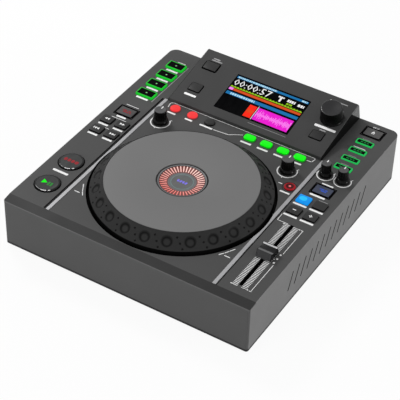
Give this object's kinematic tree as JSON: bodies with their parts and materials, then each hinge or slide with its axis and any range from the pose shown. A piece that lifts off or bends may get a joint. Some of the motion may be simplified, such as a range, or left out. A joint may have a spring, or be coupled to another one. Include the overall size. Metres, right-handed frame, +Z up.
{
  "type": "tabletop dj media player",
  "caption": "Tabletop DJ player with a turning jog wheel, tilted display console, push keys, rotary knobs and a sliding pitch fader.",
  "frame": {"origin": "bottom centre of the whole part, on the plane that the feet rest on", "axes": "+Z up; +Y towards the rear with the sockets, so the operator stands on the -Y side; +X to the operator's right, towards the pitch fader"},
  "size_m": [0.31, 0.353, 0.1027],
  "materials": {
    "case_plastic": "fine moulded texture, charcoal grey",
    "pan_metal": "satin powder coat",
    "foot_rubber": "matt",
    "screw_steel": "plated",
    "satin_metal": "satin anodised",
    "display_glass": "polished black border",
    "display_glow": "lit picture",
    "board_green": "solder resist",
    "switch_metal": "moulded",
    "control_metal": "plated",
    "base_casting": "cast",
    "bearing_steel": "ground",
    "socket_plastic": "moulded",
    "ring_plastic": "satin",
    "plate_metal": "dark anodised, turned",
    "hub_plastic": "moulded",
    "dial_plastic": "smoked, with a lit ring",
    "knob_plastic": "satin",
    "key_plastic": "satin",
    "key_black": "polished",
    "pad_green": "black face in a lit green skirt",
    "lit_green": "lit",
    "lit_red": "lit",
    "lit_blue": "lit",
    "source_green": "dark face in a lit green frame"
  },
  "bodies": {
    "root": {"top_case": "case_plastic", "base_pan": "pan_metal", "feet": "foot_rubber", "case_screws": "screw_steel", "console_hood": "case_plastic", "display_window": "display_glass", "display_panel": "display_glow", "trim_strips": "satin_metal", "main_board": "board_green", "key_boards": "board_green", "tact_switches": "switch_metal", "jog_base": "base_casting", "jog_bearings": "bearing_steel", "jog_boards": "board_green", "dial_lens": "dial_plastic", "fader_body": "control_metal", "rotary_controls": "control_metal", "rear_sockets": "socket_plastic"},
    "jog_wheel": {"jog_ring": "ring_plastic", "jog_plate": "plate_metal", "jog_hub": "hub_plastic"},
    "browse_knob": {"browse_knob": "knob_plastic"},
    "effect_knob": {"effect_knob": "knob_plastic"},
    "jog_adjust_knob": {"jog_adjust_knob": "knob_plastic"},
    "start_time_knob": {"start_time_knob": "knob_plastic"},
    "stop_time_knob": {"stop_time_knob": "knob_plastic"},
    "fader_cap": {"fader_cap": "knob_plastic"},
    "pad_1": {"pad_1": "pad_green"},
    "pad_2": {"pad_2": "pad_green"},
    "pad_3": {"pad_3": "pad_green"},
    "pad_4": {"pad_4": "pad_green"},
    "mode_button": {"mode_button": "key_plastic"},
    "search_back_button": {"search_back_button": "key_plastic"},
    "search_forward_button": {"search_forward_button": "key_plastic"},
    "track_back_button": {"track_back_button": "key_plastic"},
    "track_forward_button": {"track_forward_button": "key_plastic"},
    "cue_button": {"cue_button": "key_black"},
    "play_button": {"play_button": "key_black"},
    "effect_button_1": {"effect_button_1": "lit_red"},
    "effect_button_2": {"effect_button_2": "lit_red"},
    "effect_button_3": {"effect_button_3": "key_plastic"},
    "loop_button_1": {"loop_button_1": "lit_green"},
    "loop_button_2": {"loop_button_2": "lit_green"},
    "loop_button_3": {"loop_button_3": "lit_green"},
    "loop_button_4": {"loop_button_4": "lit_green"},
    "record_button": {"record_button": "lit_red"},
    "back_button": {"back_button": "key_black"},
    "menu_button": {"menu_button": "key_black"},
    "view_button": {"view_button": "key_black"},
    "eject_button": {"eject_button": "key_plastic"},
    "source_button_1": {"source_button_1": "source_green"},
    "source_button_2": {"source_button_2": "source_green"},
    "source_button_3": {"source_button_3": "source_green"},
    "source_button_4": {"source_button_4": "source_green"},
    "sync_button": {"sync_button": "key_plastic"},
    "key_lock_button": {"key_lock_button": "lit_blue"},
    "tempo_reset_button": {"tempo_reset_button": "key_plastic"},
    "bend_minus_button": {"bend_minus_button": "key_plastic"},
    "bend_plus_button": {"bend_plus_button": "key_plastic"},
    "power_button": {"power_button": "key_black"}
  },
  "joints": [
    {"name": "jog_turn", "type": "hinge", "parent": "root", "child": "jog_wheel", "pos_m": [0, -0.0585, 0.066], "axis": [0, 0, 1], "continuous": true},
    {"name": "browse_turn", "type": "hinge", "parent": "root", "child": "browse_knob", "pos_m": [0.0845, 0.13031, 0.08212], "axis": [0, -0.2104, 0.9776], "continuous": true},
    {"name": "effect_turn", "type": "hinge", "parent": "root", "child": "effect_knob", "pos_m": [-0.08744, 0.03333, 0.066], "axis": [0, 0, 1], "range_deg": [-150, 150]},
    {"name": "jog_adjust_turn", "type": "hinge", "parent": "root", "child": "jog_adjust_knob", "pos_m": [0.07932, 0.03603, 0.066], "axis": [0, 0, 1], "range_deg": [-150, 150]},
    {"name": "start_time_turn", "type": "hinge", "parent": "root", "child": "start_time_knob", "pos_m": [0.1183, 0.0536, 0.066], "axis": [0, 0, 1], "range_deg": [-150, 150]},
    {"name": "stop_time_turn", "type": "hinge", "parent": "root", "child": "stop_time_knob", "pos_m": [0.1397, 0.0536, 0.066], "axis": [0, 0, 1], "range_deg": [-150, 150]},
    {"name": "pitch_slide", "type": "slide", "parent": "root", "child": "fader_cap", "axis": [0, 1, 0], "range_m": [-0.05, 0.05]},
    {"name": "pad_1_press", "type": "slide", "parent": "root", "child": "pad_1", "axis": [0, 0, -1], "range_m": [0, 0.0008], "stiffness_N_per_m": 1500},
    {"name": "pad_2_press", "type": "slide", "parent": "root", "child": "pad_2", "axis": [0, 0, -1], "range_m": [0, 0.0008], "stiffness_N_per_m": 1500},
    {"name": "pad_3_press", "type": "slide", "parent": "root", "child": "pad_3", "axis": [0, 0, -1], "range_m": [0, 0.0008], "stiffness_N_per_m": 1500},
    {"name": "pad_4_press", "type": "slide", "parent": "root", "child": "pad_4", "axis": [0, 0, -1], "range_m": [0, 0.0008], "stiffness_N_per_m": 1500},
    {"name": "mode_press", "type": "slide", "parent": "root", "child": "mode_button", "axis": [0, 0, -1], "range_m": [0, 0.0008], "stiffness_N_per_m": 1500},
    {"name": "search_back_press", "type": "slide", "parent": "root", "child": "search_back_button", "axis": [0, 0, -1], "range_m": [0, 0.0008], "stiffness_N_per_m": 1500},
    {"name": "search_forward_press", "type": "slide", "parent": "root", "child": "search_forward_button", "axis": [0, 0, -1], "range_m": [0, 0.0008], "stiffness_N_per_m": 1500},
    {"name": "track_back_press", "type": "slide", "parent": "root", "child": "track_back_button", "axis": [0, 0, -1], "range_m": [0, 0.0008], "stiffness_N_per_m": 1500},
    {"name": "track_forward_press", "type": "slide", "parent": "root", "child": "track_forward_button", "axis": [0, 0, -1], "range_m": [0, 0.0008], "stiffness_N_per_m": 1500},
    {"name": "cue_press", "type": "slide", "parent": "root", "child": "cue_button", "axis": [0, 0, -1], "range_m": [0, 0.0014], "stiffness_N_per_m": 1500},
    {"name": "play_press", "type": "slide", "parent": "root", "child": "play_button", "axis": [0, 0, -1], "range_m": [0, 0.0014], "stiffness_N_per_m": 1500},
    {"name": "effect_1_press", "type": "slide", "parent": "root", "child": "effect_button_1", "axis": [0, 0, -1], "range_m": [0, 0.0008], "stiffness_N_per_m": 1500},
    {"name": "effect_2_press", "type": "slide", "parent": "root", "child": "effect_button_2", "axis": [0, 0, -1], "range_m": [0, 0.0008], "stiffness_N_per_m": 1500},
    {"name": "effect_3_press", "type": "slide", "parent": "root", "child": "effect_button_3", "axis": [0, 0, -1], "range_m": [0, 0.0008], "stiffness_N_per_m": 1500},
    {"name": "loop_1_press", "type": "slide", "parent": "root", "child": "loop_button_1", "axis": [0, 0, -1], "range_m": [0, 0.0008], "stiffness_N_per_m": 1500},
    {"name": "loop_2_press", "type": "slide", "parent": "root", "child": "loop_button_2", "axis": [0, 0, -1], "range_m": [0, 0.0008], "stiffness_N_per_m": 1500},
    {"name": "loop_3_press", "type": "slide", "parent": "root", "child": "loop_button_3", "axis": [0, 0, -1], "range_m": [0, 0.0008], "stiffness_N_per_m": 1500},
    {"name": "loop_4_press", "type": "slide", "parent": "root", "child": "loop_button_4", "axis": [0, 0, -1], "range_m": [0, 0.0008], "stiffness_N_per_m": 1500},
    {"name": "record_press", "type": "slide", "parent": "root", "child": "record_button", "axis": [0, 0, -1], "range_m": [0, 0.0008], "stiffness_N_per_m": 1500},
    {"name": "back_press", "type": "slide", "parent": "root", "child": "back_button", "axis": [0, 0.2104, -0.9776], "range_m": [0, 0.0008], "stiffness_N_per_m": 1500},
    {"name": "menu_press", "type": "slide", "parent": "root", "child": "menu_button", "axis": [0, 0.2104, -0.9776], "range_m": [0, 0.0008], "stiffness_N_per_m": 1500},
    {"name": "view_press", "type": "slide", "parent": "root", "child": "view_button", "axis": [0, 0.2104, -0.9776], "range_m": [0, 0.0008], "stiffness_N_per_m": 1500},
    {"name": "eject_press", "type": "slide", "parent": "root", "child": "eject_button", "axis": [0, 0, -1], "range_m": [0, 0.0008], "stiffness_N_per_m": 1500},
    {"name": "source_1_press", "type": "slide", "parent": "root", "child": "source_button_1", "axis": [0, 0, -1], "range_m": [0, 0.0008], "stiffness_N_per_m": 1500},
    {"name": "source_2_press", "type": "slide", "parent": "root", "child": "source_button_2", "axis": [0, 0, -1], "range_m": [0, 0.0008], "stiffness_N_per_m": 1500},
    {"name": "source_3_press", "type": "slide", "parent": "root", "child": "source_button_3", "axis": [0, 0, -1], "range_m": [0, 0.0008], "stiffness_N_per_m": 1500},
    {"name": "source_4_press", "type": "slide", "parent": "root", "child": "source_button_4", "axis": [0, 0, -1], "range_m": [0, 0.0008], "stiffness_N_per_m": 1500},
    {"name": "sync_press", "type": "slide", "parent": "root", "child": "sync_button", "axis": [0, 0, -1], "range_m": [0, 0.0008], "stiffness_N_per_m": 1500},
    {"name": "key_lock_press", "type": "slide", "parent": "root", "child": "key_lock_button", "axis": [0, 0, -1], "range_m": [0, 0.0008], "stiffness_N_per_m": 1500},
    {"name": "tempo_reset_press", "type": "slide", "parent": "root", "child": "tempo_reset_button", "axis": [0, 0, -1], "range_m": [0, 0.0008], "stiffness_N_per_m": 1500},
    {"name": "bend_minus_press", "type": "slide", "parent": "root", "child": "bend_minus_button", "axis": [0, 0, -1], "range_m": [0, 0.0008], "stiffness_N_per_m": 1500},
    {"name": "bend_plus_press", "type": "slide", "parent": "root", "child": "bend_plus_button", "axis": [0, 0, -1], "range_m": [0, 0.0008], "stiffness_N_per_m": 1500},
    {"name": "power_press", "type": "slide", "parent": "root", "child": "power_button", "axis": [0, -1, 0], "range_m": [0, 0.0025], "stiffness_N_per_m": 1500}
  ]
}
